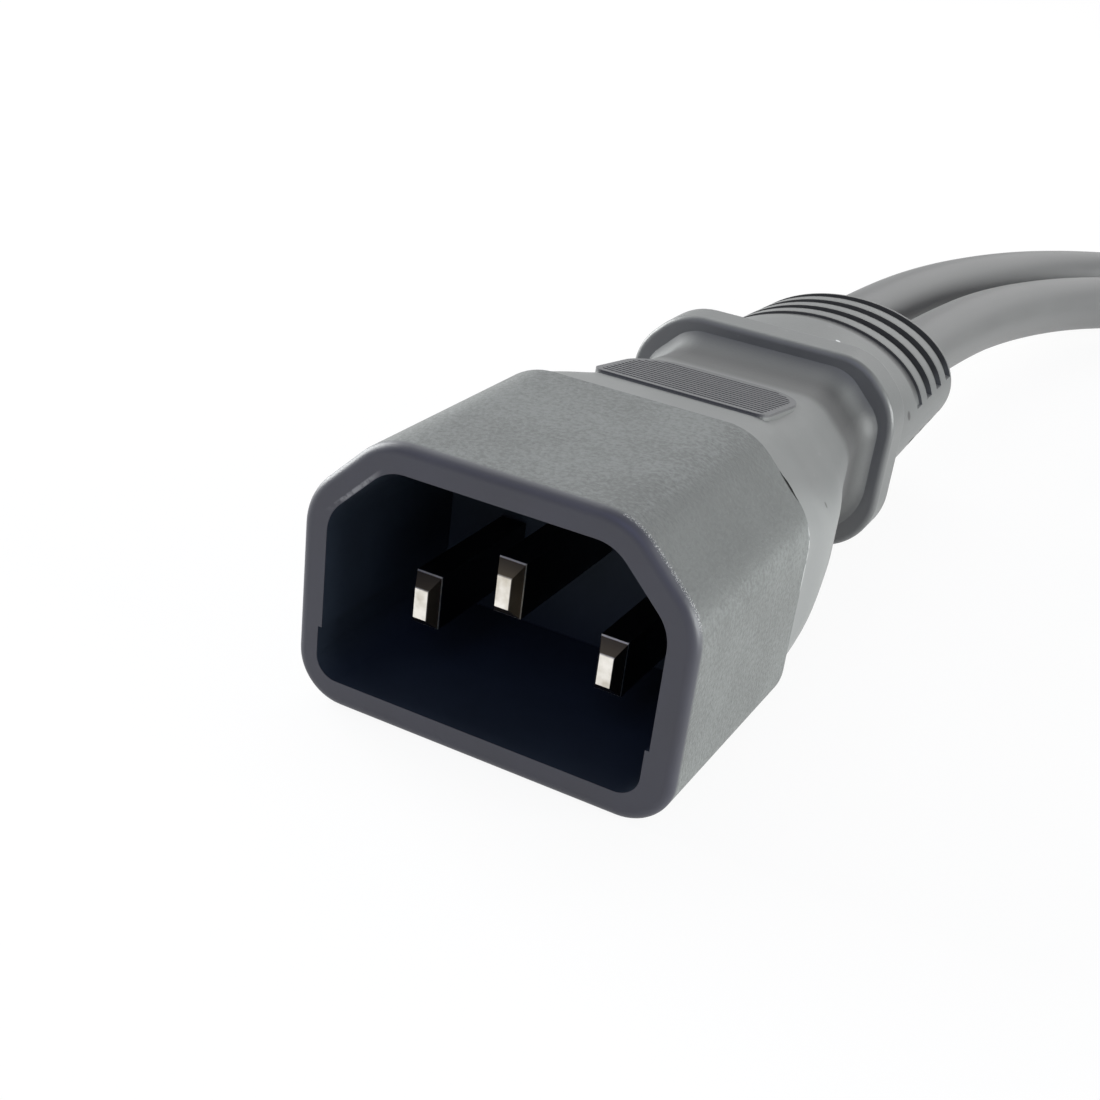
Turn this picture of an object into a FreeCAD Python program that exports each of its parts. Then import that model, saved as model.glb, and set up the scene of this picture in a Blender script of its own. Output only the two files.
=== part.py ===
# Power splitter cable: one three-pin plug feeding two short leads that end in three-way sockets.
# Units are millimetres. +Z is up, the plug's mouth faces -Y and z = 0 is the surface it lies on.
# Each connector is drawn in its own frame (mouth at y = 0, depth along +Y, axis at z = 0), then placed.
import FreeCAD, Part
import math
import os

Vector = FreeCAD.Vector

# Plug shroud, a hard cup with two bevelled corners on the earth side
shroud_width = 28.5
shroud_height = 20.4
shroud_length = 19.3
shroud_wall = 1.95
shroud_bevel = 5.45
shroud_bevel_radius = 5.0
shroud_base_radius = 3.6
shroud_rim_radius = 0.7
shroud_floor = 2.9
mould_shift = 0.3
mould_split_drop = 4.5

# Rear boss of a hard insert, which the soft moulding grips
boss_inset = 4.4
boss_length = 4.5
boss_radius = 1.2

# Flat pins
pin_width = 2.0
pin_height = 4.0
pin_spacing = 14.0
pin_drop = 2.45
earth_rise = 4.0
line_pin_depth = 3.8
earth_pin_depth = 2.0
pin_tip_length = 1.0
pin_tip_width = 1.0
pin_tip_height = 2.2

# Cores and crimps
core_diameter = 1.7
core_gap = 0.5
core_ring_radius = 1.2
crimp_length = 5.0
crimp_wall = 0.45

# Leads
cord_diameter = 6.4
cord_spacing = 8.2

# Soft moulding behind the plug shroud, station by station from the shroud to the rim.
# A draft is how much narrower than the shroud a station is.
plug_front_step = 0.1
plug_shoulder_depth = 23.8
plug_shoulder_draft = 0.5
plug_shoulder_height = 18.1
plug_shoulder_bevel = 5.8
plug_neck_depth = 26.6
plug_neck_draft = 1.2
plug_neck_height = 16.8
plug_neck_bevel = 5.9
plug_thumb_depth = 32.2
plug_thumb_width = 25.0
plug_thumb_height = 15.1
plug_thumb_bevel = 4.9
plug_pad_end_depth = 37.0
plug_pad_end_width = 22.0
plug_pad_end_height = 13.8
plug_pad_end_bevel = 3.8
plug_waist_depth = 41.2
plug_waist_width = 20.3
plug_waist_height = 12.8
plug_waist_bevel = 3.1
plug_rim_depth = 45.6
plug_rim_thickness = 3.6
plug_rim_width = 23.8
plug_rim_height = 17.0
plug_rim_bevel = 3.6
plug_boot_width = 22.3
plug_boot_height = 15.3
plug_length = 71.0
plug_boot_end_width = 21.2
plug_boot_end_height = 13.1
plug_jacket_depth = 55.0
plug_groove_first = 58.2
plug_groove_pitch = 3.4
plug_groove_count = 4

# Short gap where the moulding has drawn back from the shroud, on one bevel
seam_gap_length = 2.4
seam_gap_width = 0.7
seam_gap_depth = 0.8
seam_gap_offset = 0.45

# Soft moulding behind a socket nose
socket_front_step = 0.15
socket_shoulder_depth = 22.8
socket_shoulder_width = 22.5
socket_shoulder_height = 14.8
socket_shoulder_bevel = 4.1
socket_neck_depth = 26.0
socket_neck_width = 21.0
socket_neck_height = 13.9
socket_neck_bevel = 3.7
socket_thumb_depth = 28.8
socket_thumb_width = 19.6
socket_thumb_height = 13.1
socket_thumb_bevel = 3.3
socket_pad_end_depth = 31.5
socket_pad_end_width = 18.3
socket_pad_end_height = 12.4
socket_pad_end_bevel = 3.0
socket_waist_depth = 34.5
socket_waist_width = 17.2
socket_waist_height = 11.7
socket_waist_bevel = 2.7
socket_rim_depth = 37.6
socket_rim_thickness = 3.2
socket_rim_width = 20.4
socket_rim_height = 14.8
socket_rim_bevel = 3.2
socket_boot_width = 16.4
socket_boot_height = 12.6
socket_length = 58.0
socket_boot_end_width = 10.6
socket_boot_end_height = 10.4
socket_jacket_depth = 46.0
socket_groove_first = 45.6
socket_groove_pitch = 3.2
socket_groove_count = 4

# Details that the mouldings share
mould_edge_radius = 4.6
rim_corner_radius = 5.2
mould_base_radius = 5.2
rim_edge_radius = 0.5
flare_inset = 0.35
flare_start = 1.3
flare_rise = 1.85
boot_end_radius = 0.8
groove_width = 1.6
groove_depth = 1.5
first_groove_depth = 0.3
groove_web = 3.0
pad_height = 0.25
pad_root = 0.9
pad_front_radius = 1.0
pad_rear_radius = 4.2
pad_side_margin = 0.1
rib_margin = 0.5
rib_pitch = 0.7
rib_groove = 0.3
rib_depth = 0.14

# Socket nose, which slides into a plug shroud with this clearance all round
nose_clearance = 0.35
nose_length = 20.0
nose_edge_radius = 0.5
slot_clearance = 0.2
slot_face = 1.4
contact_thickness = 0.4
contact_clearance = 0.1
contact_length = 11.0

# Lead routes between the straight run out of the plug and the straight run into a socket
right_route = [
    (4.4, 49.5, 9.9),
    (5.6, 66.5, 9.1),
    (8.6, 84.5, 7.5),
    (14.0, 102.2, 5.6),
    (24.0, 117.1, 4.0),
    (39.9, 125.5, 3.3),
    (57.9, 125.5, 3.2),
    (73.8, 117.1, 3.4),
    (83.8, 103.3, 5.4),
]
right_end = [(88.5, 90.4), (90.9, 80.7)]
left_route = [
    (-3.9, 49.5, 10.0),
    (-3.0, 66.5, 9.4),
    (-0.7, 84.4, 8.2),
    (3.6, 102.7, 6.6),
    (10.9, 119.1, 5.0),
    (23.1, 132.2, 3.7),
    (39.4, 139.8, 3.2),
    (57.4, 140.8, 3.4),
    (73.6, 135.8, 5.4),
]
left_end = [(85.6, 128.9), (93.6, 123.1)]
lead_straight = 14.0
arc_share = 0.45

# Values worked out from the driving dimensions
opening_width = shroud_width - 2 * shroud_wall
opening_height = shroud_height - 2 * shroud_wall
opening_bevel = shroud_bevel - shroud_wall * (2 - math.sqrt(2))
opening_depth = shroud_length - shroud_floor
nose_width = opening_width - 2 * nose_clearance
nose_height = opening_height - 2 * nose_clearance
nose_bevel = opening_bevel - nose_clearance * (2 - math.sqrt(2))
core_offset = (core_diameter + core_gap) / 2
crimp_width = core_diameter + 2 * crimp_wall
pair_crimp_height = 2 * core_diameter + core_gap + 2 * crimp_wall
plug_axis_height = shroud_height / 2
socket_axis_height = nose_height / 2
pole_places = {
    "line": (-pin_spacing / 2, -pin_drop),
    "earth": (0.0, earth_rise - pin_drop),
    "neutral": (pin_spacing / 2, -pin_drop),
}


def rounded_wire(corners, radii, y):
    # Closed outline in the plane of constant y, with an arc of its own at each corner.
    points = [Vector(x, y, z) for x, z in corners]
    bends = []
    for index, corner in enumerate(points):
        before = (points[index - 1] - corner).normalize()
        after = (points[(index + 1) % len(points)] - corner).normalize()
        half_angle = before.getAngle(after) / 2
        reach = radii[index] / math.tan(half_angle)
        inward = (before + after).normalize()
        crown = radii[index] / math.sin(half_angle) - radii[index]
        bends.append((corner + before * reach, corner + inward * crown, corner + after * reach))
    edges = []
    for index, (start, middle, end) in enumerate(bends):
        edges.append(Part.Arc(start, middle, end).toShape())
        edges.append(Part.LineSegment(end, bends[(index + 1) % len(bends)][0]).toShape())
    return Part.Wire(edges)


def bevelled_outline(width, height, bevel, bevel_radius, base_radius, y):
    x = width / 2
    z = height / 2
    corners = [(-x + bevel, z), (x - bevel, z), (x, z - bevel), (x, -z), (-x, -z), (-x, z - bevel)]
    radii = [bevel_radius, bevel_radius, bevel_radius, base_radius, base_radius, bevel_radius]
    return rounded_wire(corners, radii, y)


def rounded_outline(width, height, radius, y):
    x = width / 2
    z = height / 2
    return rounded_wire([(-x, z), (x, z), (x, -z), (-x, -z)], [radius] * 4, y)


def oval_outline(width, height, y):
    oval = Part.Ellipse(Vector(width / 2, y, 0), Vector(0, y, height / 2), Vector(0, y, 0))
    return Part.Wire([oval.toShape()])


def prism(wire, length):
    return Part.Face(wire).extrude(Vector(0, length, 0))


def centred_box(width, height, x, z, start, end):
    corner = Vector(x - width / 2, start, z - height / 2)
    return Part.makeBox(width, end - start, height, corner)


def edges_at(shape, y):
    # Edges that lie wholly in the plane of this y.
    return [edge for edge in shape.Edges if abs(edge.BoundBox.YMin - y) + abs(edge.BoundBox.YMax - y) < 1e-4]


def hard_boss(width, height, start):
    outline = rounded_outline(width - 2 * boss_inset, height - 2 * boss_inset, boss_radius, start)
    return prism(outline, boss_length)


def make_shroud():
    outer = bevelled_outline(
        shroud_width, shroud_height, shroud_bevel, shroud_bevel_radius, shroud_base_radius, 0
    )
    cup = prism(outer, shroud_length)
    cup = cup.makeFillet(shroud_rim_radius, edges_at(cup, 0))
    opening = bevelled_outline(
        opening_width,
        opening_height,
        opening_bevel,
        shroud_bevel_radius - shroud_wall,
        shroud_base_radius - shroud_wall,
        0,
    )
    cavity = prism(opening, opening_depth)
    # The two mould halves met with a small sideways step along the cavity walls.
    split = -mould_split_drop
    upper = centred_box(2 * shroud_width, shroud_height, 0, split + shroud_height / 2, 0, opening_depth)
    lower = centred_box(2 * shroud_width, shroud_height, 0, split - shroud_height / 2, 0, opening_depth)
    shifted = cavity.translated(Vector(-mould_shift, 0, 0))
    cup = cup.cut(cavity.common(upper)).cut(shifted.common(lower))
    return cup.fuse(hard_boss(shroud_width, shroud_height, shroud_length)).removeSplitter()


def make_pin(x, z, depth):
    seat_end = shroud_length + boss_length
    shoulder = depth + pin_tip_length
    blade = centred_box(pin_width, pin_height, x, z, shoulder, seat_end)
    tip_corners = [(-1, 1), (1, 1), (1, -1), (-1, -1)]
    rings = []
    for width, height, y in ((pin_tip_width, pin_tip_height, depth), (pin_width, pin_height, shoulder)):
        ring = [Vector(x + sx * width / 2, y, z + sz * height / 2) for sx, sz in tip_corners]
        rings.append(Part.makePolygon(ring + ring[:1]))
    tip = Part.makeLoft(rings, True, True)
    crimp = centred_box(crimp_width, pair_crimp_height, x, z, seat_end, seat_end + crimp_length)
    return blade.fuse([tip, crimp]).removeSplitter()


def make_core(start, end):
    # Straight insulated core whose ends are cut square to the connector's axis.
    path = end - start
    spare = path.normalize() * core_diameter
    rod = Part.makeCylinder(
        core_diameter / 2, (end - start).Length + 2 * spare.Length, start - spare, end - start
    )
    reach = 2 * (shroud_width + shroud_height)
    low = min(start.y, end.y)
    high = max(start.y, end.y)
    return rod.common(centred_box(reach, reach, 0, 0, low, high))


def make_pad(front, back, width, front_height, slope):
    # Ribbed thumb pad: straight front edge, well rounded rear corners.
    length = back - front
    half = width / 2
    flat = [
        Vector(-half, pad_front_radius, 0),
        Vector(-half, length - pad_rear_radius, 0),
        Vector(-half + pad_rear_radius, length, 0),
        Vector(half - pad_rear_radius, length, 0),
        Vector(half, length - pad_rear_radius, 0),
        Vector(half, pad_front_radius, 0),
        Vector(half - pad_front_radius, 0, 0),
        Vector(-half + pad_front_radius, 0, 0),
    ]
    diagonal = math.sqrt(0.5)
    rear = pad_rear_radius * diagonal
    front_turn = pad_front_radius * diagonal
    rear_centre = length - pad_rear_radius
    left_rear = Vector(-half + pad_rear_radius - rear, rear_centre + rear, 0)
    right_rear = Vector(half - pad_rear_radius + rear, rear_centre + rear, 0)
    right_front = Vector(half - pad_front_radius + front_turn, pad_front_radius - front_turn, 0)
    left_front = Vector(-half + pad_front_radius - front_turn, pad_front_radius - front_turn, 0)
    outline = Part.Wire([
        Part.LineSegment(flat[0], flat[1]).toShape(),
        Part.Arc(flat[1], left_rear, flat[2]).toShape(),
        Part.LineSegment(flat[2], flat[3]).toShape(),
        Part.Arc(flat[3], right_rear, flat[4]).toShape(),
        Part.LineSegment(flat[4], flat[5]).toShape(),
        Part.Arc(flat[5], right_front, flat[6]).toShape(),
        Part.LineSegment(flat[6], flat[7]).toShape(),
        Part.Arc(flat[7], left_front, flat[0]).toShape(),
    ])
    face = Part.Face(outline)
    pad = face.extrude(Vector(0, 0, -pad_height - pad_root))
    ribbed = face.makeOffset2D(-rib_margin).extrude(Vector(0, 0, -rib_depth))
    grooves = []
    y = rib_pitch
    while y < length - rib_pitch:
        grooves.append(Part.makeBox(width, rib_groove, rib_depth, Vector(-half, y, -rib_depth)))
        y += rib_pitch
    pad = pad.cut(ribbed.common(Part.makeCompound(grooves)))
    pad.rotate(Vector(0, 0, 0), Vector(1, 0, 0), -slope)
    pad.translate(Vector(0, front, front_height + pad_height))
    return pad


def make_boot(width, height, start, end_width, end_height, end, first, pitch, count):
    ends = [oval_outline(width, height, start), oval_outline(end_width, end_height, end)]
    boot = Part.makeLoft(ends, True, True)
    boot = boot.makeFillet(boot_end_radius, edges_at(boot, end))
    slots = []
    for index in range(count):
        y = first + index * pitch
        share = (y - start) / (end - start)
        depth = groove_depth if index else first_groove_depth
        core_width = width + (end_width - width) * share - 2 * depth
        core_height = height + (end_height - height) * share - 2 * depth
        core_outline = oval_outline(core_width, core_height, y)
        ring = centred_box(2 * width, 2 * height, 0, 0, y, y + groove_width)
        web = centred_box(2 * width, groove_web, 0, 0, y, y + groove_width)
        slots.append(ring.cut(prism(core_outline, groove_width)).cut(web))
    return boot.cut(Part.makeCompound(slots))


def make_moulding(stations, rim, boot, pad):
    # Grip that tapers from the hard piece, narrows to a waist, flares up to a rim and goes on
    # as a slotted boot. Its edges are never rounder than their bevel is wide.
    # A station halfway along the first taper keeps that taper straight.
    halfway = tuple((first + second) / 2 for first, second in zip(stations[0], stations[1]))
    wires = []
    for y, width, height, bevel in stations[:1] + [halfway] + stations[1:]:
        edge_radius = min(mould_edge_radius, bevel)
        wires.append(bevelled_outline(width, height, bevel, edge_radius, mould_base_radius, y))
    grip = Part.makeLoft(wires, True, False)
    rim_depth, rim_thickness, rim_width, rim_height, rim_bevel = rim
    collar = prism(
        bevelled_outline(rim_width, rim_height, rim_bevel, rim_corner_radius, mould_base_radius, rim_depth),
        rim_thickness,
    )
    collar_edges = edges_at(collar, rim_depth) + edges_at(collar, rim_depth + rim_thickness)
    collar = collar.makeFillet(rim_edge_radius, collar_edges)
    return grip.fuse([collar, boot, pad]).removeSplitter()


def flare_stations(rim):
    # Last two stations of a grip: the start of the flare and its end inside the rim.
    rim_depth, rim_thickness, rim_width, rim_height, rim_bevel = rim
    inset = 2 * flare_rise
    outer = 2 * flare_inset
    return [
        (rim_depth - flare_start, rim_width - inset, rim_height - inset, rim_bevel - flare_inset),
        (rim_depth + rim_edge_radius, rim_width - outer, rim_height - outer, rim_bevel),
    ]


def make_seam_gap():
    # Half an oval that is widest at mid length and closes at both ends.
    middle = Vector(seam_gap_offset, 0, -seam_gap_depth)
    long_end = middle + Vector(seam_gap_length / 2, 0, 0)
    oval = Part.Ellipse(long_end, middle + Vector(0, seam_gap_width, 0), middle)
    gap = Part.Face(Part.Wire([oval.toShape()])).extrude(Vector(0, 0, 2 * seam_gap_depth))
    gap.rotate(Vector(0, 0, 0), Vector(0, 1, 0), 45)
    front_width = shroud_width - 2 * plug_front_step
    front_height = shroud_height - 2 * plug_front_step
    gap.translate(Vector((front_width - shroud_bevel) / 2, shroud_length, (front_height - shroud_bevel) / 2))
    return gap


def make_plug_moulding(fillings):
    rim = (plug_rim_depth, plug_rim_thickness, plug_rim_width, plug_rim_height, plug_rim_bevel)
    step = 2 * plug_front_step
    stations = [
        (shroud_length, shroud_width - step, shroud_height - step, shroud_bevel),
        (plug_shoulder_depth, shroud_width - plug_shoulder_draft, plug_shoulder_height, plug_shoulder_bevel),
        (plug_neck_depth, shroud_width - plug_neck_draft, plug_neck_height, plug_neck_bevel),
        (plug_thumb_depth, plug_thumb_width, plug_thumb_height, plug_thumb_bevel),
        (plug_pad_end_depth, plug_pad_end_width, plug_pad_end_height, plug_pad_end_bevel),
        (plug_waist_depth, plug_waist_width, plug_waist_height, plug_waist_bevel),
    ]
    boot = make_boot(
        plug_boot_width,
        plug_boot_height,
        plug_rim_depth + plug_rim_thickness - rim_edge_radius,
        plug_boot_end_width,
        plug_boot_end_height,
        plug_length,
        plug_groove_first,
        plug_groove_pitch,
        plug_groove_count,
    )
    fall = (plug_neck_height - plug_pad_end_height) / 2
    slope = math.degrees(math.atan2(fall, plug_pad_end_depth - plug_neck_depth))
    pad_width = plug_pad_end_width - 2 * plug_pad_end_bevel - 2 * pad_side_margin
    pad = make_pad(plug_neck_depth, plug_pad_end_depth, pad_width, plug_neck_height / 2, slope)
    body = make_moulding(stations + flare_stations(rim), rim, boot, pad)
    return body.cut(fillings + [make_seam_gap()])


def make_socket_moulding(fillings):
    rim = (socket_rim_depth, socket_rim_thickness, socket_rim_width, socket_rim_height, socket_rim_bevel)
    step = 2 * socket_front_step
    stations = [
        (nose_length, nose_width - step, nose_height - step, nose_bevel),
        (socket_shoulder_depth, socket_shoulder_width, socket_shoulder_height, socket_shoulder_bevel),
        (socket_neck_depth, socket_neck_width, socket_neck_height, socket_neck_bevel),
        (socket_thumb_depth, socket_thumb_width, socket_thumb_height, socket_thumb_bevel),
        (socket_pad_end_depth, socket_pad_end_width, socket_pad_end_height, socket_pad_end_bevel),
        (socket_waist_depth, socket_waist_width, socket_waist_height, socket_waist_bevel),
    ]
    boot = make_boot(
        socket_boot_width,
        socket_boot_height,
        socket_rim_depth + socket_rim_thickness - rim_edge_radius,
        socket_boot_end_width,
        socket_boot_end_height,
        socket_length,
        socket_groove_first,
        socket_groove_pitch,
        socket_groove_count,
    )
    fall = (socket_neck_height - socket_pad_end_height) / 2
    slope = math.degrees(math.atan2(fall, socket_pad_end_depth - socket_neck_depth))
    pad_width = socket_pad_end_width - 2 * socket_pad_end_bevel - 2 * pad_side_margin
    pad = make_pad(socket_neck_depth, socket_pad_end_depth, pad_width, socket_neck_height / 2, slope)
    body = make_moulding(stations + flare_stations(rim), rim, boot, pad)
    return body.cut(fillings)


def contact_size():
    # Outside width and height of a female contact's sleeve.
    width = pin_width + 2 * slot_clearance + 2 * contact_thickness
    height = pin_height + 2 * slot_clearance + 2 * contact_thickness
    return width, height


def make_nose():
    outer = bevelled_outline(
        nose_width,
        nose_height,
        nose_bevel,
        shroud_bevel_radius - shroud_wall,
        shroud_base_radius - shroud_wall,
        0,
    )
    nose = prism(outer, nose_length)
    nose = nose.makeFillet(nose_edge_radius, edges_at(nose, 0))
    nose = nose.fuse(hard_boss(nose_width, nose_height, nose_length)).removeSplitter()
    sleeve_width, sleeve_height = contact_size()
    seat_end = nose_length + boss_length
    spaces = []
    for x, z in pole_places.values():
        slot_width = pin_width + 2 * slot_clearance
        slot_height = pin_height + 2 * slot_clearance
        spaces.append(centred_box(slot_width, slot_height, x, z, 0, slot_face))
        room_width = sleeve_width + 2 * contact_clearance
        room_height = sleeve_height + 2 * contact_clearance
        spaces.append(centred_box(room_width, room_height, x, z, slot_face, seat_end))
    return nose.cut(Part.makeCompound(spaces))


def make_contact(x, z):
    sleeve_width, sleeve_height = contact_size()
    front = slot_face + contact_clearance
    back = front + contact_length
    seat_end = nose_length + boss_length
    sleeve = centred_box(sleeve_width, sleeve_height, x, z, front, back)
    hollow_width = sleeve_width - 2 * contact_thickness
    hollow_height = sleeve_height - 2 * contact_thickness
    sleeve = sleeve.cut(centred_box(hollow_width, hollow_height, x, z, front, back))
    strip_z = z - sleeve_height / 2 + contact_thickness / 2
    strip = centred_box(hollow_width, contact_thickness, x, strip_z, back, seat_end)
    crimp_height = z + core_diameter / 2 + crimp_wall - (z - sleeve_height / 2)
    crimp_z = z - sleeve_height / 2 + crimp_height / 2
    crimp = centred_box(crimp_width, crimp_height, x, crimp_z, seat_end, seat_end + crimp_length)
    return sleeve.fuse([strip, crimp]).removeSplitter()


def ring_place(centre_x, angle, y):
    # Centre of one core where it leaves the jacket.
    x = centre_x + core_ring_radius * math.cos(math.radians(angle))
    z = core_ring_radius * math.sin(math.radians(angle))
    return Vector(x, y, z)


def whole_route(lane, route, end):
    # The lead's own points between its seats in the two connectors.
    root = plug_jacket_depth - plug_length / 2
    start = [(lane, root, plug_axis_height), (lane, root + lead_straight, plug_axis_height)]
    return start + route + [(x, y, socket_axis_height) for x, y in end]


def route_path(route):
    # Straight runs joined by tangent arcs, each as large as its two runs allow.
    points = [Vector(*place) for place in route]
    edges = []
    radii = []
    start = points[0]
    for before, corner, after in zip(points, points[1:], points[2:]):
        run_in = before - corner
        run_out = after - corner
        reach = arc_share * min(run_in.Length, run_out.Length)
        to_before = run_in.normalize()
        to_after = run_out.normalize()
        half_angle = to_before.getAngle(to_after) / 2
        radius = reach * math.tan(half_angle)
        crown = radius / math.sin(half_angle) - radius
        middle = corner + (to_before + to_after).normalize() * crown
        arc_start = corner + to_before * reach
        arc_end = corner + to_after * reach
        edges.append(Part.LineSegment(start, arc_start).toShape())
        edges.append(Part.Arc(arc_start, middle, arc_end).toShape())
        radii.append(radius)
        start = arc_end
    edges.append(Part.LineSegment(start, points[-1]).toShape())
    return Part.Wire(edges), radii


def make_cord(name, route):
    path, radii = route_path(route)
    first = Vector(*route[0])
    heading = Vector(*route[1]) - first
    section = Part.Wire([Part.makeCircle(cord_diameter / 2, first, heading)])
    tube = path.makePipeShell([section], True, False)
    expected = math.pi * cord_diameter ** 2 / 4 * path.Length
    print(name, "length", round(path.Length, 1), "volume ratio", round(tube.Volume / expected, 4))
    print(name, "bend radii", [round(radius) for radius in radii])
    return tube


def plug_placed(shape):
    return shape.translated(Vector(0, -plug_length / 2, plug_axis_height))


def socket_placed(shape, route):
    # The lead's last run gives the socket's heading, and its end meets the jacket's seat.
    end = Vector(*route[-1])
    heading = end - Vector(*route[-2])
    turn = math.degrees(math.atan2(heading.x, -heading.y))
    placed = shape.copy()
    placed.translate(Vector(0, -socket_jacket_depth, 0))
    placed.rotate(Vector(0, 0, 0), Vector(0, 0, 1), turn)
    placed.translate(Vector(end.x, end.y, socket_axis_height))
    return placed


def build_plug(cords):
    parts = {"plug_shroud": make_shroud()}
    depths = {"line": line_pin_depth, "earth": earth_pin_depth, "neutral": line_pin_depth}
    for pole, (x, z) in pole_places.items():
        parts["pin_" + pole] = make_pin(x, z, depths[pole])
        parts["plug_shroud"] = parts["plug_shroud"].cut(parts["pin_" + pole])
    # Each pole's two cores lie one above the other in its crimp, on lanes that clear each other.
    angles = {
        "left": {"earth": 30, "line": 150, "neutral": 270},
        "right": {"neutral": 30, "line": 150, "earth": 270},
    }
    rises = {
        "left": {"line": -core_offset, "earth": core_offset, "neutral": -core_offset},
        "right": {"line": core_offset, "earth": -core_offset, "neutral": core_offset},
    }
    crimp_end = shroud_length + boss_length + crimp_length
    for side, centre_x in (("left", -cord_spacing / 2), ("right", cord_spacing / 2)):
        for pole, (x, z) in pole_places.items():
            start = ring_place(centre_x, angles[side][pole], plug_jacket_depth)
            end = Vector(x, crimp_end, z + rises[side][pole])
            parts["plug_core_%s_%s" % (side, pole)] = make_core(start, end)
    fillings = [shape for name, shape in parts.items()]
    for cord in cords:
        fillings.append(cord.translated(Vector(0, plug_length / 2, -plug_axis_height)))
    parts["plug_moulding"] = make_plug_moulding(fillings)
    return {name: plug_placed(shape) for name, shape in parts.items()}


def build_socket(side, route, cord):
    parts = {"nose": make_nose()}
    crimp_end = nose_length + boss_length + crimp_length
    angles = {"line": 210, "earth": 90, "neutral": 330}
    for pole, (x, z) in pole_places.items():
        parts["contact_" + pole] = make_contact(x, z)
        start = ring_place(0, angles[pole], socket_jacket_depth)
        parts["core_" + pole] = make_core(start, Vector(x, crimp_end, z))
    parts["moulding"] = make_socket_moulding(list(parts.values()))
    placed = {name: socket_placed(shape, route) for name, shape in parts.items()}
    placed["moulding"] = placed["moulding"].cut(cord)
    return {"socket_%s_%s" % (side, name): shape for name, shape in placed.items()}


def main():
    os.makedirs("parts", exist_ok=True)
    right_lead = whole_route(cord_spacing / 2, right_route, right_end)
    left_lead = whole_route(-cord_spacing / 2, left_route, left_end)
    right_cord = make_cord("cord_right", right_lead)
    left_cord = make_cord("cord_left", left_lead)
    nodes = {"cord_right": right_cord, "cord_left": left_cord}
    nodes.update(build_plug([right_cord, left_cord]))
    nodes.update(build_socket("right", right_lead, right_cord))
    nodes.update(build_socket("left", left_lead, left_cord))
    for name, shape in nodes.items():
        shape.exportStep("parts/%s.step" % name)
        print(name, "solids", len(shape.Solids), "valid", shape.isValid(), "volume", round(shape.Volume, 1))


main()
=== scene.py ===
import bmesh
import bpy
from mathutils import Matrix, Vector


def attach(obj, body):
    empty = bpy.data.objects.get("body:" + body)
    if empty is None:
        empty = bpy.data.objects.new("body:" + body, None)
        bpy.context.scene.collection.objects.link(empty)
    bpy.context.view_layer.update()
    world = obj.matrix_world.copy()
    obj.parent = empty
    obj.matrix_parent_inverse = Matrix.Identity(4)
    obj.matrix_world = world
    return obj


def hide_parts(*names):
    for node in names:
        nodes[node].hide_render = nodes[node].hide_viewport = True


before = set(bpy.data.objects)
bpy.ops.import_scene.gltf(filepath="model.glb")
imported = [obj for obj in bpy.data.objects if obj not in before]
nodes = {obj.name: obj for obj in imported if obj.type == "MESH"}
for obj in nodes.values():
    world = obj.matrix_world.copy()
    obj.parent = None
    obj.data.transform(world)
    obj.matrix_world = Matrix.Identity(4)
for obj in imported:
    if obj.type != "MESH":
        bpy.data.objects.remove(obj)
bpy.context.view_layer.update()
scene = bpy.context.scene
scene.view_settings.view_transform = "Standard"
print("frame loaded,", len(nodes), "nodes")


# camera, at the photograph's own viewpoint
viewpoint = {
    "place": (0.040949, -0.114584, 0.057718),
    "right": (0.86945264, 0.48207825, 0.10794756),
    "down": (0.31731342, -0.37749059, -0.86995003),
    "forward": (-0.3786348, 0.79063355, -0.48118009),
    "sensor": 36,
    "lens": 52.234,
    "shift": (0.02195, 0.0905),
    "nearest": 0.005,
}


def placeCamera(facts):
    data = bpy.data.cameras.new("studioCamera")
    data.sensor_width = facts["sensor"]
    data.lens = facts["lens"]
    data.shift_x, data.shift_y = facts["shift"]
    data.clip_start = facts["nearest"]
    camera = bpy.data.objects.new("studioCamera", data)
    right = Vector(facts["right"]).normalized()
    up = -Vector(facts["down"]).normalized()
    back = -Vector(facts["forward"]).normalized()
    turn = Matrix((right, up, back)).transposed().to_4x4()
    camera.matrix_world = Matrix.Translation(facts["place"]) @ turn
    scene.collection.objects.link(camera)
    scene.camera = camera


placeCamera(viewpoint)
print("camera placed")


class Signal:
    # a node socket that works in Python expressions
    def __init__(self, tree, socket=None):
        self.tree = tree
        self.socket = socket

    def node(self, kind, settings=None, inputs=None, output=0):
        made = self.tree.nodes.new(kind)
        for name, value in (settings or {}).items():
            setattr(made, name, value)
        for name, value in (inputs or {}).items():
            if isinstance(value, Signal):
                self.tree.links.new(value.socket, made.inputs[name])
            else:
                made.inputs[name].default_value = value
        return Signal(self.tree, made.outputs[output] if len(made.outputs) else None)

    def other(self, name):
        return Signal(self.tree, self.socket.node.outputs[name])

    def work(self, operation, first, second=0.0):
        return self.node("ShaderNodeMath", {"operation": operation}, {0: first, 1: second})

    def __add__(self, value):
        return self.work("ADD", self, value)

    def __radd__(self, value):
        return self.work("ADD", value, self)

    def __sub__(self, value):
        return self.work("SUBTRACT", self, value)

    def __rsub__(self, value):
        return self.work("SUBTRACT", value, self)

    def __mul__(self, value):
        return self.work("MULTIPLY", self, value)

    def __rmul__(self, value):
        return self.work("MULTIPLY", value, self)

    def __abs__(self):
        return self.work("ABSOLUTE", self)

    def __lt__(self, value):
        return self.work("LESS_THAN", self, value)

    def __gt__(self, value):
        return self.work("GREATER_THAN", self, value)


def newFinish(name, specular=0.5):
    material = bpy.data.materials.new(name)
    material.use_nodes = True
    shader = material.node_tree.nodes["Principled BSDF"]
    shader.inputs["Specular IOR Level"].default_value = specular
    start = Signal(material.node_tree)
    place = start.node("ShaderNodeTexCoord", output="Object")
    return material, shader, place


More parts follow.
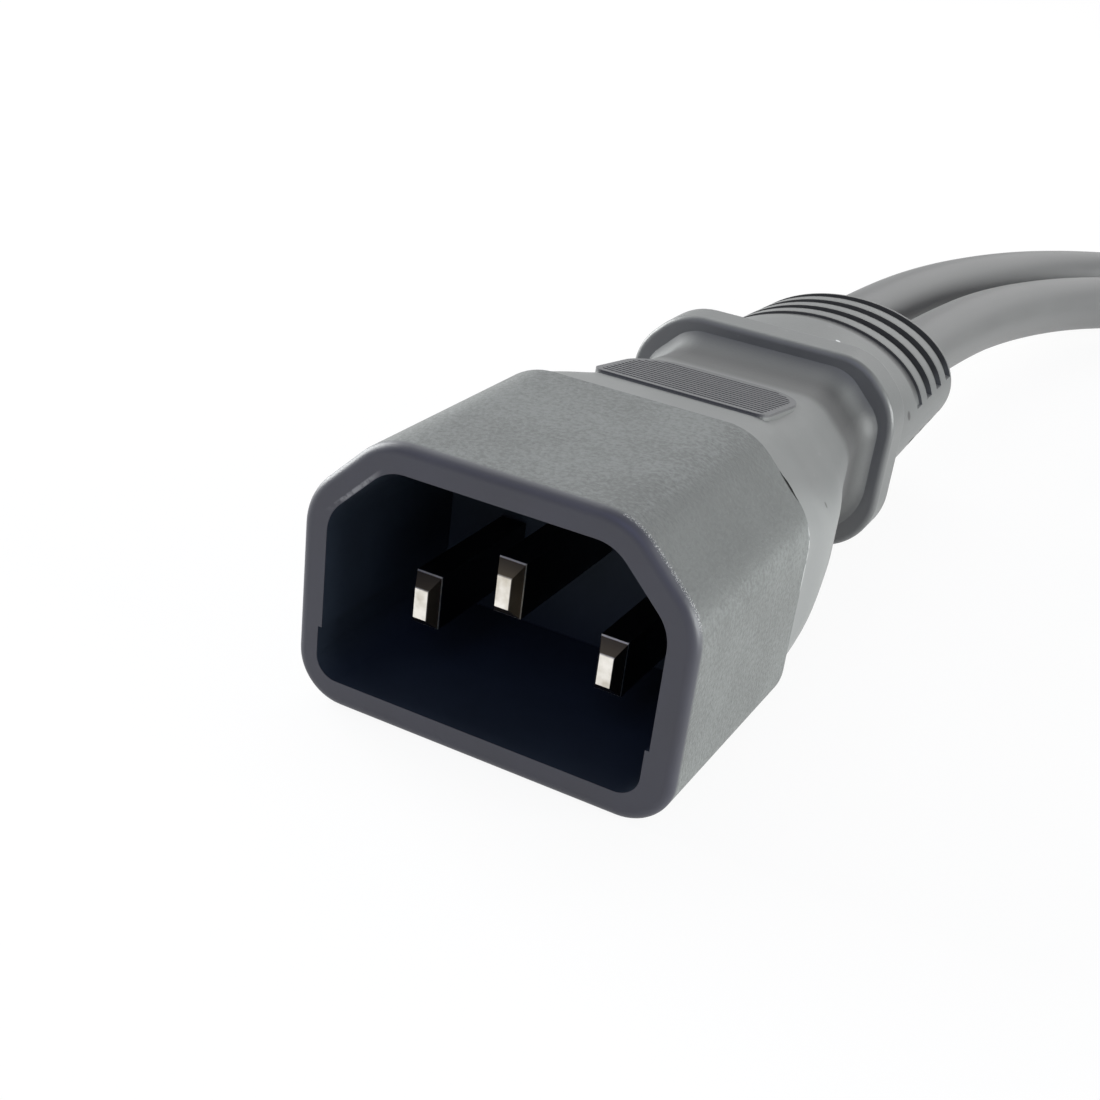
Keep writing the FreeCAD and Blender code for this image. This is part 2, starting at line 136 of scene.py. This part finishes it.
def feed(shader, signals):
    for name, value in signals.items():
        if isinstance(value, Signal):
            value.tree.links.new(value.socket, shader.inputs[name])
        else:
            shader.inputs[name].default_value = value


def coverShader(material, shader, mask, over):
    tree = material.node_tree
    under = Signal(tree, shader.outputs[0])
    both = mask.node("ShaderNodeMixShader", None, {0: mask, 1: under, 2: over})
    tree.links.new(both.socket, tree.nodes["Material Output"].inputs["Surface"])


# offsets across, along and above the plug's axis
def plugAxes(place, axisHeight):
    axes = place.node("ShaderNodeSeparateXYZ", None, {"Vector": place})
    return axes.other("X"), axes.other("Y"), axes.other("Z") - axisHeight


def noise(place, scale, detail=2.0, rough=0.5):
    values = {"Vector": place, "Scale": scale, "Detail": detail, "Roughness": rough}
    return place.node("ShaderNodeTexNoise", None, values)


def tone(level, tint=(1.0, 1.0, 1.0)):
    return (level * tint[0], level * tint[1], level * tint[2], 1.0)


def mix(factor, first, second):
    return factor.node("ShaderNodeMix", {"data_type": "RGBA"}, {0: factor, 6: first, 7: second}, 2)


def mixTones(factor, levels, tint):
    return mix(factor, tone(levels[0], tint), tone(levels[1], tint))


def ramp(value, limits):
    values = {"Value": value, "From Min": limits[0], "From Max": limits[1]}
    return value.node("ShaderNodeMapRange", {"interpolation_type": "SMOOTHSTEP"}, values)


def between(value, facts):
    return ramp(value, facts["rise"]) * ramp(value, facts["fall"])


def bump(height, strength, distance):
    values = {"Height": height, "Strength": strength, "Distance": distance}
    return height.node("ShaderNodeBump", None, values)


# short gap where the soft moulding has drawn back from the hard shroud; painted shade: its walls
# and a thin strip beside it are painted near-black as the shade inside it
gapFacts = {
    "seam": -0.0162,
    "middle": 0.0050,
    "reach": 0.0018,
    "floor": 0.0172,
    "behind": 0.00088,
    "before": 0.00020,
    "tone": 0.002,
}


def gapShadeMask(across, along, height, facts, width, side):
    share = (across - height - facts["middle"]) * (1.0 / facts["reach"])
    reach = width * share.work("SQRT", 1.0 - share * share)
    return (side * (along - facts["seam"]) < reach) * (across + height > facts["floor"])


# hard black plastic: grained walls, a smooth rim and a cavity, the rim and the cavity in darker
# tones painted as shade
cupFacts = {
    "specular": 0.7,
    "axisHeight": 0.0102,
    "rimFace": -0.0355,
    "grain": (3300, 3.0, 0.62),
    "grainOnRim": 0.06,
    "grainStrength": 0.5,
    "grainDepth": 0.00014,
    "cloud": (170, 3.0),
    "mottle": {"cloud": 0.35, "grain": 0.65, "limits": (0.34, 0.66)},
    "wall": (0.088, 0.162),
    "wallTint": (0.97, 1.03, 1.0),
    "wallStart": (0.00042, 0.00105),
    "rim": (0.021, 0.040),
    "rimTint": (0.92, 0.95, 1.40),
    "rough": {"rim": 0.48, "walls": 0.08, "cloud": 0.1},
    "mouth": {"across": 0.01275, "height": 0.0087, "corner": 0.0174, "depth": 0.00005},
    "cavity": {"tones": (0.018, 0.034), "tint": (0.68, 1.0, 1.55), "rough": 0.6, "specular": 0.25},
    "fleck": {
        "depth": 0.00075,
        "fade": (0.00030, 0.00005),
        "corner": 0.0178,
        "across": 0.0080,
        "height": 0.0042,
        "patches": (11000, 1.0),
        "above": 0.58,
        "tone": 0.34,
    },
    "edgeHighlight": {
        "edge": 0.01648,
        "fade": (0.00028, 0.00010),
        "depth": 0.0003,
        "height": (0.0040, 0.0056),
        "across": (-0.0082, -0.0096),
        "patches": (1500, 2.0),
        "limits": (0.36, 0.56),
        "tone": 0.20,
    },
    "bevelShade": {"edge": (0.0183, 0.0189), "share": 0.7, "tone": 0.085},
    "flash": {
        "past": (-0.00020, -0.00008),
        "across": 0.0130,
        "middle": 0.0022,
        "fade": (0.0028, 0.0018),
        "patches": (1200, 2.0),
        "limits": (0.34, 0.50),
        "tone": 0.45,
    },
}


def makeCupPlastic(name, facts):
    material, shader, place = newFinish(name, facts["specular"])
    across, along, height = plugAxes(place, facts["axisHeight"])
    depth = along - facts["rimFace"]
    grain = noise(place, *facts["grain"])
    cloud = noise(place, *facts["cloud"])
    walls = ramp(depth, facts["wallStart"])
    mottle = facts["mottle"]["cloud"] * cloud + facts["mottle"]["grain"] * grain
    wallTone = mixTones(ramp(mottle, facts["mottle"]["limits"]), facts["wall"], facts["wallTint"])
    # painted shade: the front-facing rim takes far darker tones than the walls
    rimShadeTone = mixTones(cloud, facts["rim"], facts["rimTint"])

    # painted shade: bevels a little darker than the flats, standing in for the lighting on them
    bevelShade = facts["bevelShade"]
    bevel = ramp(abs(across) + height, bevelShade["edge"])
    wallTone = mix(bevelShade["share"] * bevel, wallTone, tone(bevelShade["tone"], facts["wallTint"]))

    # pale flash along the seam on one side
    flash = facts["flash"]
    strip = ramp(along - gapFacts["seam"], flash["past"]) * (across > flash["across"])
    strip = strip * ramp(abs(height - flash["middle"]), flash["fade"])
    strip = strip * ramp(noise(place, *flash["patches"]), flash["limits"])
    wallTone = mix(strip, wallTone, tone(flash["tone"]))
    base = mix(walls, rimShadeTone, wallTone)

    # torn grain where the rim meets one bevel
    fleck = facts["fleck"]
    torn = ramp(abs(depth - fleck["depth"]), fleck["fade"]) * (across + height > fleck["corner"])
    torn = torn * (across > fleck["across"]) * (height > fleck["height"])
    torn = torn * (noise(place, *fleck["patches"]) > fleck["above"])
    base = mix(torn, base, tone(fleck["tone"]))

    # painted highlight along the rim's inner edge at the other bevel, where the cavity's bevel
    # wall catches light
    edgeHighlight = facts["edgeHighlight"]
    highlightStreak = ramp(abs(height - across - edgeHighlight["edge"]), edgeHighlight["fade"]) * (depth < edgeHighlight["depth"])
    highlightStreak = highlightStreak * ramp(height, edgeHighlight["height"]) * ramp(across, edgeHighlight["across"])
    highlightStreak = highlightStreak * ramp(noise(place, *edgeHighlight["patches"]), edgeHighlight["limits"])
    base = mix(highlightStreak, base, tone(edgeHighlight["tone"]))

    parts = facts["rough"]
    rough = parts["rim"] + parts["walls"] * walls + parts["cloud"] * (cloud - 0.5)
    relief = grain * (facts["grainOnRim"] + walls)
    normal = bump(relief, facts["grainStrength"], facts["grainDepth"])
    feed(shader, {"Base Color": base, "Roughness": rough, "Normal": normal})

    # painted shade: the cavity and the gap's edge take a darker, duller shader that stands in for
    # the shade inside them
    mouth = facts["mouth"]
    cavity = facts["cavity"]
    hollow = (abs(across) < mouth["across"]) * (abs(height) < mouth["height"])
    hollow = hollow * (abs(across) + height < mouth["corner"]) * (depth > mouth["depth"])
    # painted shade: the gap's wall and a thin strip in front of it take near-black
    gapShade = gapShadeMask(across, along, height, gapFacts, gapFacts["before"], -1.0)
    paintedShadeTones = mix(gapShade, mixTones(cloud, cavity["tones"], cavity["tint"]), tone(gapFacts["tone"]))
    values = {
        "Base Color": paintedShadeTones,
        "Roughness": cavity["rough"],
        "Specular IOR Level": cavity["specular"],
    }
    inside = place.node("ShaderNodeBsdfPrincipled", None, values)
    coverShader(material, shader, hollow.work("MAXIMUM", hollow, gapShade), inside)
    return material


# the same plastic on the socket noses, lightly grained all over
noseFacts = {
    "specular": 0.7,
    "tones": (0.070, 0.105),
    "tint": (0.96, 0.98, 1.04),
    "grain": (3000, 3.0, 0.6),
    "grainStrength": 0.4,
    "grainDepth": 0.00004,
    "cloud": (170, 3.0),
    "rough": {"plain": 0.46, "cloud": 0.14},
}


def makeNosePlastic(name, facts):
    material, shader, place = newFinish(name, facts["specular"])
    grain = noise(place, *facts["grain"])
    cloud = noise(place, *facts["cloud"])
    base = mixTones(cloud, facts["tones"], facts["tint"])
    rough = facts["rough"]["plain"] + facts["rough"]["cloud"] * cloud
    normal = bump(grain, facts["grainStrength"], facts["grainDepth"])
    feed(shader, {"Base Color": base, "Roughness": rough, "Normal": normal})
    return material


# soft black moulding: grips, rims and boots
softFacts = {
    "specular": 0.9,
    "sheen": 0.05,
    "axisHeight": 0.0102,
    "tones": (0.085, 0.122),
    "tint": (0.98, 1.02, 1.0),
    "grain": (4200, 2.0),
    "grainStrength": 0.35,
    "grainDepth": 0.00003,
    "cloud": (140, 4.0, 0.55),
    "cloudDepth": 0.4,
    "rough": {"plain": 0.40, "cloud": 0.14, "dust": 0.1, "pad": 0.12, "collar": 0.14},
    "dust": {"patches": (900, 1.0), "limits": (0.74, 0.80), "share": 0.25, "tone": 0.30},
    "pad": {
        "tones": (0.038, 0.058),
        "tint": (0.98, 0.98, 1.08),
        "front": -0.00892,
        "back": 0.0016,
        "level": 0.00845,
        "fall": 0.1442,
    },
    "cheekLight": {"across": (0.0112, 0.0134), "along": (0.0010, -0.0030), "share": 0.8, "tone": 0.185},
    "shadeTone": 0.030,
    "neck": {"rise": (0.0022, 0.0045), "fall": (0.0098, 0.0070), "share": 0.92},
    "side": {
        "rise": (0.0030, 0.0050),
        "fall": (0.0103, 0.0097),
        "across": (0.0075, 0.0095),
        "share": 0.45,
    },
    "slots": {
        "middles": (0.0235, 0.0269, 0.0303, 0.0337),
        "fade": (0.00125, 0.00085),
        "height": (0.0018, 0.0030),
        "share": 0.85,
    },
    "collar": {"rise": (0.0025, 0.0045), "fall": (0.0104, 0.0098)},
    "speckCore": 0.6,
    "specks": {
        "bootDot": {"place": (0.00349, 0.01834, 0.01721), "reach": 0.00026, "tone": 0.60},
        "slotMark": {"place": (0.01069, 0.01990, 0.01185), "reach": 0.00050, "tone": 0.012},
        "wallMark": {"place": (0.01269, -0.00850, 0.01344), "reach": 0.00030, "tone": 0.020},
        "neckMark": {"place": (0.01200, -0.00350, 0.01400), "reach": 0.00026, "tone": 0.020},
    },
}


def makeSoftPlastic(name, facts):
    material, shader, place = newFinish(name, facts["specular"])
    across, along, height = plugAxes(place, facts["axisHeight"])
    grain = noise(place, *facts["grain"])
    cloud = noise(place, *facts["cloud"])
    base = mixTones(cloud, facts["tones"], facts["tint"])
    dust = ramp(noise(place, *facts["dust"]["patches"]), facts["dust"]["limits"])
    base = mix(facts["dust"]["share"] * dust, base, tone(facts["dust"]["tone"]))

    # darker thumb pad: partly the ribbed pad's own duller tone, partly painted shade standing in
    # for the shade between its ribs
    pad = facts["pad"]
    thumb = (along > pad["front"]) * (along < pad["back"])
    thumb = thumb * (height + pad["fall"] * (along - pad["front"]) > pad["level"])
    base = mix(thumb, base, mixTones(cloud, pad["tones"], pad["tint"]))

    # painted light: paler cheeks beside the pad, where the grip's sides catch more light
    cheekLight = facts["cheekLight"]
    litFlank = ramp(abs(across), cheekLight["across"]) * ramp(along, cheekLight["along"])
    base = mix(cheekLight["share"] * litFlank, base, tone(cheekLight["tone"], facts["tint"]))

    # shade gathered in front of the collar and in the boot's slots
    shade = tone(facts["shadeTone"])
    base = mix(facts["neck"]["share"] * between(along, facts["neck"]), base, shade)
    side = between(along, facts["side"]) * ramp(across, facts["side"]["across"])
    base = mix(facts["side"]["share"] * side, base, shade)
    slots = facts["slots"]
    for middle in slots["middles"]:
        slot = ramp(abs(along - middle), slots["fade"]) * ramp(abs(height), slots["height"])
        base = mix(slots["share"] * slot, base, shade)

    for speck in facts["specks"].values():
        values = {0: place, 1: speck["place"]}
        far = place.node("ShaderNodeVectorMath", {"operation": "DISTANCE"}, values, "Value")
        dot = ramp(far, (speck["reach"], facts["speckCore"] * speck["reach"]))
        base = mix(dot, base, tone(speck["tone"]))

    parts = facts["rough"]
    rough = parts["plain"] + parts["cloud"] * cloud + parts["dust"] * dust + parts["pad"] * thumb
    rough = rough + parts["collar"] * between(along, facts["collar"])
    relief = grain + facts["cloudDepth"] * cloud
    normal = bump(relief, facts["grainStrength"], facts["grainDepth"])
    feed(shader, {"Base Color": base, "Roughness": rough, "Normal": normal})
    feed(shader, {"Sheen Weight": facts["sheen"]})

    # painted shade: near-black diffuse over the gap's walls and just behind the gap
    gapShade = gapShadeMask(across, along, height, gapFacts, gapFacts["behind"], 1.0)
    gapShadeShader = place.node("ShaderNodeBsdfDiffuse", None, {"Color": tone(gapFacts["tone"])})
    coverShader(material, shader, gapShade, gapShadeShader)
    return material


# satin jacket of the leads
jacketFacts = {
    "specular": 0.7,
    "tones": (0.105, 0.140),
    "highTint": (0.99, 1.0, 0.99),
    "grain": (2600, 2.0),
    "grainStrength": 0.3,
    "grainDepth": 0.000012,
    "cloud": (110, 3.0),
    "rough": {"plain": 0.40, "cloud": 0.12},
}


def makeJacket(name, facts):
    material, shader, place = newFinish(name, facts["specular"])
    grain = noise(place, *facts["grain"])
    cloud = noise(place, *facts["cloud"])
    base = mix(cloud, tone(facts["tones"][0]), tone(facts["tones"][1], facts["highTint"]))
    rough = facts["rough"]["plain"] + facts["rough"]["cloud"] * cloud
    normal = bump(grain + cloud, facts["grainStrength"], facts["grainDepth"])
    feed(shader, {"Base Color": base, "Roughness": rough, "Normal": normal})
    return material


# plated pins and brass contacts, with drawing marks along them
drawnFacts = {
    "stretch": (1.0, 0.05, 1.0),
    "markStrength": 0.12,
    "markDepth": 0.00001,
    "cloud": (600, 3.0),
    "cloudLimits": (0.25, 0.6),
    "rough": {"plain": 0.2, "marks": 0.14, "cloud": 0.1, "sleeve": 0.3},
    "bevelStart": (0.00003, 0.00009),
    "highlightMiddle": 0.00096,
    "highlightFade": (0.00007, 0.00003),
    "shaftStart": (0.00101, 0.00105),
}
metalFacts = {
    "nickelPlate": {
        "marks": (5200, 3.0, 0.6),
        "bright": (0.93, 0.90, 0.84),
        "dull": (0.52, 0.48, 0.40),
        "tip": {"place": -0.0317, "bevel": (0.13, 0.11, 0.085), "shaftShade": (0.050, 0.046, 0.042)},
    },
    "earthNickelPlate": {
        "marks": (5200, 3.0, 0.6),
        "bright": (0.93, 0.90, 0.84),
        "dull": (0.52, 0.47, 0.38),
        "tip": {"place": -0.0335, "bevel": (0.16, 0.135, 0.10), "shaftShade": (0.060, 0.054, 0.047)},
    },
    "rightContactBrass": {
        "marks": (4200, 3.0, 0.6),
        "bright": (0.80, 0.62, 0.30),
        "dull": (0.62, 0.46, 0.20),
        "crimp": {"toward": (0.240179, -0.970729, 0.0), "start": -0.03481},
    },
    "leftContactBrass": {
        "marks": (4200, 3.0, 0.6),
        "bright": (0.80, 0.62, 0.30),
        "dull": (0.62, 0.46, 0.20),
        "crimp": {"toward": (0.809610, -0.586967, 0.0), "start": 0.02522},
    },
}


def makeMetal(name, facts, drawn):
    material, shader, place = newFinish(name)
    lines = place.node("ShaderNodeMapping", None, {"Vector": place, "Scale": drawn["stretch"]})
    marks = noise(lines, *facts["marks"])
    cloud = noise(place, *drawn["cloud"])
    bright = tone(1.0, facts["bright"])
    base = mix(ramp(cloud, drawn["cloudLimits"]), tone(1.0, facts["dull"]), bright)
    parts = drawn["rough"]
    rough = parts["plain"] + parts["marks"] * marks + parts["cloud"] * cloud
    metallic = 1.0
    if "tip" in facts:  # bright end; painted shade on the bevels; a painted highlight along the bevel's edge; painted shade down the shaft inside the cavity
        tip = facts["tip"]
        along = place.node("ShaderNodeSeparateXYZ", None, {"Vector": place}).other("Y")
        past = along - tip["place"]
        base = mix(ramp(past, drawn["bevelStart"]), base, tone(1.0, tip["bevel"]))
        base = mix(ramp(abs(past - drawn["highlightMiddle"]), drawn["highlightFade"]), base, bright)
        base = mix(ramp(past, drawn["shaftStart"]), base, tone(1.0, tip["shaftShade"]))
    if "crimp" in facts:  # crimps wear the moulding's black
        values = {0: place, 1: facts["crimp"]["toward"]}
        reach = place.node("ShaderNodeVectorMath", {"operation": "DOT_PRODUCT"}, values, "Value")
        sleeve = reach < facts["crimp"]["start"]
        base = mix(sleeve, base, tone(softFacts["tones"][0], softFacts["tint"]))
        rough = rough + parts["sleeve"] * sleeve
        metallic = 1.0 - sleeve
    normal = bump(marks, drawn["markStrength"], drawn["markDepth"])
    feed(shader, {"Base Color": base, "Roughness": rough, "Normal": normal, "Metallic": metallic})
    return material


# insulation of the cores
coreFacts = {
    "cloud": (500, 2.0),
    "rough": {"plain": 0.38, "cloud": 0.1},
    "stripeScale": 180.0,
    "stripeLimits": (0.45, 0.55),
    "coreBrown": ((0.090, 0.035, 0.015, 1.0), (0.130, 0.055, 0.025, 1.0)),
    "coreBlue": ((0.015, 0.080, 0.300, 1.0), (0.030, 0.120, 0.420, 1.0)),
    "coreGreenYellow": ((0.050, 0.220, 0.040, 1.0), (0.700, 0.550, 0.030, 1.0)),
}


def makeCore(name, facts, striped=False):
    material, shader, place = newFinish(name)
    cloud = noise(place, *facts["cloud"])
    factor = cloud
    if striped:
        values = {"Vector": place, "Scale": facts["stripeScale"]}
        band = place.node("ShaderNodeTexWave", {"bands_direction": "X"}, values)
        factor = ramp(band, facts["stripeLimits"])
    rough = facts["rough"]["plain"] + facts["rough"]["cloud"] * cloud
    feed(shader, {"Base Color": mix(factor, *facts[name]), "Roughness": rough})
    return material


finishes = {
    "cup": makeCupPlastic("cupPlastic", cupFacts),
    "nose": makeNosePlastic("nosePlastic", noseFacts),
    "soft": makeSoftPlastic("softMoulding", softFacts),
    "jacket": makeJacket("leadJacket", jacketFacts),
    "pin": makeMetal("nickelPlate", metalFacts["nickelPlate"], drawnFacts),
    "earthPin": makeMetal("earthNickelPlate", metalFacts["earthNickelPlate"], drawnFacts),
    "rightContact": makeMetal("rightContactBrass", metalFacts["rightContactBrass"], drawnFacts),
    "leftContact": makeMetal("leftContactBrass", metalFacts["leftContactBrass"], drawnFacts),
    "line": makeCore("coreBrown", coreFacts),
    "neutral": makeCore("coreBlue", coreFacts),
    "earth": makeCore("coreGreenYellow", coreFacts, striped=True),
}
print("finishes made:", ", ".join(finishes))


def finishFor(name):
    if name == "plug_shroud":
        return finishes["cup"]
    if name.endswith("_nose"):
        return finishes["nose"]
    if name.endswith("_moulding"):
        return finishes["soft"]
    if name == "pin_earth":
        return finishes["earthPin"]
    if name.startswith("pin_"):
        return finishes["pin"]
    if "_contact_" in name:
        return finishes["rightContact" if "_right_" in name else "leftContact"]
    if "_core_" in name:
        return finishes[name.split("_")[-1]]
    return finishes["jacket"]


for nodeName, node in nodes.items():
    node.data.materials.clear()
    node.data.materials.append(finishFor(nodeName))


# the two leads: the route's points in metres, from inside the plug to inside a socket
leads = {
    "right": [
        (0.0041, 0.0195, 0.0102),
        (0.0041, 0.0335, 0.0102),
        (0.0044, 0.0495, 0.0099),
        (0.0056, 0.0665, 0.0091),
        (0.0086, 0.0845, 0.0075),
        (0.0140, 0.1022, 0.0056),
        (0.0240, 0.1171, 0.0040),
        (0.0399, 0.1255, 0.0033),
        (0.0579, 0.1255, 0.0032),
        (0.0738, 0.1171, 0.0034),
        (0.0838, 0.1033, 0.0054),
        (0.0885, 0.0904, 0.0079),
        (0.0909, 0.0807, 0.0079),
    ],
    "left": [
        (-0.0041, 0.0195, 0.0102),
        (-0.0041, 0.0335, 0.0102),
        (-0.0039, 0.0495, 0.0100),
        (-0.0030, 0.0665, 0.0094),
        (-0.0007, 0.0844, 0.0082),
        (0.0036, 0.1027, 0.0066),
        (0.0109, 0.1191, 0.0050),
        (0.0231, 0.1322, 0.0037),
        (0.0394, 0.1398, 0.0032),
        (0.0574, 0.1408, 0.0034),
        (0.0736, 0.1358, 0.0054),
        (0.0856, 0.1289, 0.0079),
        (0.0936, 0.1231, 0.0079),
    ],
}
leadFacts = {
    "diameter": 0.0064,
    "exitDepth": 0.0355,
    "length": {"right": 0.1956, "left": 0.1961},
    "roundSteps": 10,
    "pathSteps": 16,
}


def layLead(side, route, facts):
    curve = bpy.data.curves.new("lead_" + side, "CURVE")
    curve.dimensions = "3D"
    curve.bevel_depth = facts["diameter"] / 2
    curve.bevel_resolution = facts["roundSteps"]
    curve.resolution_u = facts["pathSteps"]
    curve.use_fill_caps = True
    spline = curve.splines.new("NURBS")
    spline.points.add(len(route) - 1)
    for point, place in zip(spline.points, route):
        point.co = (*place, 1.0)
    spline.order_u = 3
    spline.use_endpoint_u = True
    spline.use_smooth = True
    lead = bpy.data.objects.new("lead_" + side, curve)
    scene.collection.objects.link(lead)
    curve.materials.append(finishes["jacket"])
    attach(lead, "root")
    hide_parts("cord_" + side)


for side, route in leads.items():
    layLead(side, route, leadFacts)
print("leads laid")


# pale floor and soft studio light
studio = {
    "floorSize": 3.0,
    "floorTone": 0.9,
    "floorGlow": {"Is Camera Ray": 0.92, "Is Glossy Ray": 0.9, "Is Transmission Ray": 0.92},
    "skyGlow": {"Is Camera Ray": 1.0, "Is Glossy Ray": 0.3, "Is Transmission Ray": 1.0},
    "ambient": 0.35,
    "aim": (0.0, 0.0, 0.01),
}
lamps = {
    "overheadSoftbox": {
        "place": (-0.30, 0.35, 0.55),
        "size": 0.6,
        "power": 1.5,
        "tint": (0.98, 1.0, 0.99),
    },
    "rightSoftbox": {
        "place": (0.62, 0.10, 0.05),
        "size": 0.4,
        "power": 7.6,
        "tint": (0.97, 1.0, 0.98),
    },
    "leftSoftbox": {
        "place": (-0.60, 0.10, 0.20),
        "size": 0.4,
        "power": 6.3,
        "tint": (0.98, 1.0, 0.99),
    },
    "backSoftbox": {
        "place": (0.10, 0.80, 0.35),
        "size": 0.5,
        "power": 0.9,
        "tint": (1.0, 1.0, 0.99),
    },
    "coolFrontFill": {
        "place": (0.10, -0.60, 0.55),
        "size": 0.5,
        "power": 1.1,
        "tint": (0.40, 0.46, 1.0),
    },
}


def whiteFor(start, shares):
    paths = start.node("ShaderNodeLightPath")
    total = None
    for name, share in shares.items():
        part = paths.other(name) * share
        total = part if total is None else total + part
    return start.node("ShaderNodeClamp", None, {"Value": total})


def makeFloor(facts):
    shape = bmesh.new()
    bmesh.ops.create_grid(shape, x_segments=1, y_segments=1, size=facts["floorSize"] / 2)
    mesh = bpy.data.meshes.new("studioFloor")
    shape.to_mesh(mesh)
    shape.free()
    floor = bpy.data.objects.new("studioFloor", mesh)
    scene.collection.objects.link(floor)
    material = bpy.data.materials.new("paleFloor")
    material.use_nodes = True
    material.node_tree.nodes.clear()
    start = Signal(material.node_tree)
    matt = start.node("ShaderNodeBsdfDiffuse", None, {"Color": tone(facts["floorTone"])})
    glow = start.node("ShaderNodeEmission", None, {"Color": tone(1.0), "Strength": 1.0})
    seen = whiteFor(start, facts["floorGlow"])
    both = start.node("ShaderNodeMixShader", None, {0: seen, 1: matt, 2: glow})
    start.node("ShaderNodeOutputMaterial", None, {"Surface": both})
    mesh.materials.append(material)


def makeWorld(facts):
    world = bpy.data.worlds.new("studioWorld")
    scene.world = world
    world.use_nodes = True
    world.node_tree.nodes.clear()
    start = Signal(world.node_tree)
    seen = whiteFor(start, facts["skyGlow"])
    soft, white = [
        start.node("ShaderNodeBackground", None, {"Color": tone(1.0), "Strength": strength})
        for strength in (facts["ambient"], 1.0)
    ]
    both = start.node("ShaderNodeMixShader", None, {0: seen, 1: soft, 2: white})
    start.node("ShaderNodeOutputWorld", None, {"Surface": both})


def hangLamp(name, facts, aim):
    data = bpy.data.lights.new(name, "AREA")
    data.shape = "SQUARE"
    data.size = facts["size"]
    data.energy = facts["power"]
    data.color = facts["tint"]
    lamp = bpy.data.objects.new(name, data)
    lamp.location = facts["place"]
    lamp.rotation_mode = "QUATERNION"
    lamp.rotation_quaternion = (Vector(aim) - Vector(facts["place"])).to_track_quat("-Z", "Y")
    scene.collection.objects.link(lamp)


makeFloor(studio)
makeWorld(studio)
for lampName, lampFacts in lamps.items():
    hangLamp(lampName, lampFacts, studio["aim"])
print("studio lit")
